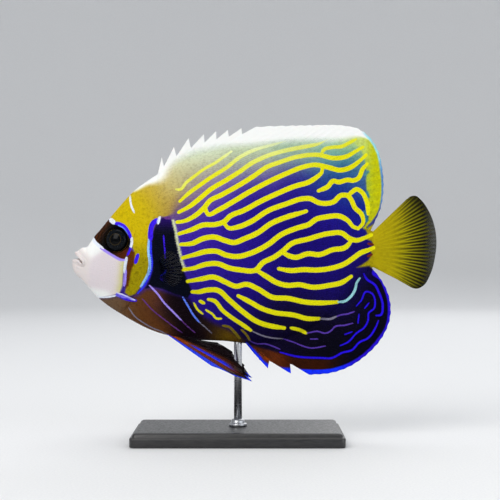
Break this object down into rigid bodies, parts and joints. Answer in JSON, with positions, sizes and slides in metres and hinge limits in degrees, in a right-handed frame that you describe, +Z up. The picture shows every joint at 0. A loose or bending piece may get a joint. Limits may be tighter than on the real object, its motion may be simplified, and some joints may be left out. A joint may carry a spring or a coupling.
{
  "type": "emperor angelfish model",
  "caption": "Deep-bodied striped reef fish with spread dorsal and anal fins and a short rounded tail, held level on a rod above a flat base.",
  "frame": {"origin": "centre of the underside of the display stand's base, on the surface it stands on", "axes": "+X along the fish from snout to tail, -Y towards the fish's left side, +Z up"},
  "size_m": [0.1821, 0.0776, 0.1575],
  "materials": {
    "face_white": "satin, pinkish white",
    "nape_yellow": "satin, yellow",
    "body_violet": "satin, violet-blue with yellow stripes",
    "fin_white": "satin, white",
    "fin_yellow": "satin, yellow",
    "fin_dark": "satin, dark violet",
    "fin_orange": "satin, brown-orange",
    "spine_blue": "gloss, bright blue",
    "eye_dark": "polished, near black",
    "stand_black": "satin black paint on steel",
    "rod_steel": "brushed"
  },
  "bodies": {
    "root": {"head": "nape_yellow", "upper_jaw": "face_white", "lower_jaw": "face_white", "eye_left": "eye_dark", "eye_right": "eye_dark", "gill_cover_left": "nape_yellow", "gill_cover_right": "nape_yellow", "cheek_spine_left": "spine_blue", "cheek_spine_right": "spine_blue", "torso": "body_violet", "tail_stalk": "body_violet", "dorsal_fin_spiny": "fin_white", "dorsal_fin_soft": "fin_yellow", "anal_fin": "fin_dark", "tail_fin": "fin_yellow", "pectoral_fin_left": "fin_dark", "pectoral_fin_right": "fin_dark", "pelvic_fin_left": "fin_orange", "pelvic_fin_right": "fin_orange", "stand_base": "stand_black", "stand_collar": "rod_steel", "stand_rod": "rod_steel"}
  },
  "joints": []
}
